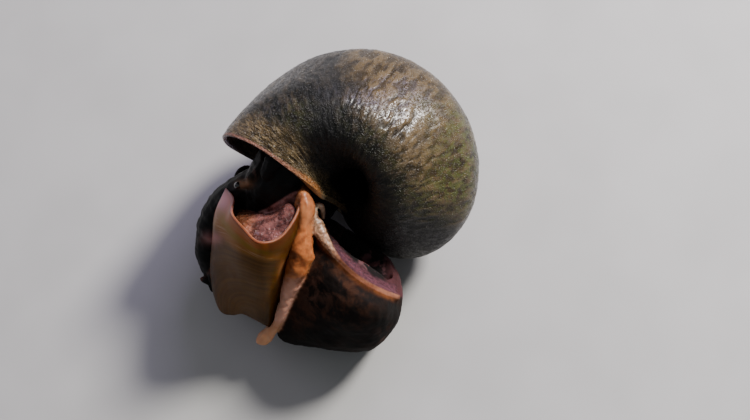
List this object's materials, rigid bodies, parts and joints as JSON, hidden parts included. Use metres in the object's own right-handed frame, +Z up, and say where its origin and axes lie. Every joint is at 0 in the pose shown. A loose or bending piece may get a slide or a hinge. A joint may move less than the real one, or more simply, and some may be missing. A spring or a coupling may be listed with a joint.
{
  "type": "apple snail",
  "caption": "Still life-size apple snail lying on its spire, seen from the umbilicus, its foot half folded out of the aperture and its horny operculum bent to a trough.",
  "frame": {"origin": "centre of the bounding box in X and Y, on the floor that the shell's spire side and the foot rest on", "axes": "+Z up from the floor; -Y towards the side that the picture's eye stands over; +X to that eye's right before its roll"},
  "size_m": [0.0914, 0.0846, 0.0579],
  "materials": {
    "shell": "wet horny skin over lime, dark olive brown with algae",
    "operculum": "wet horn, dark brown with an amber edge",
    "flesh": "wet skin, brown black with rust mottling and tan edges",
    "eye": "wet and black"
  },
  "bodies": {
    "root": {"eye_left": "eye", "eye_right": "eye", "eye_stalk_left": "flesh", "eye_stalk_right": "flesh", "foot_fore": "flesh", "foot_rear": "flesh", "foot_stalk": "flesh", "head": "flesh", "lip_left": "flesh", "lip_right": "flesh", "mantle_edge": "flesh", "neck": "flesh", "nuchal_lobe": "flesh", "opercular_lobe": "flesh", "operculum": "operculum", "palp_left": "flesh", "palp_right": "flesh", "shell": "shell", "siphon": "flesh", "sole_margin": "flesh", "tentacle_left": "flesh", "tentacle_right": "flesh"}
  },
  "joints": []
}
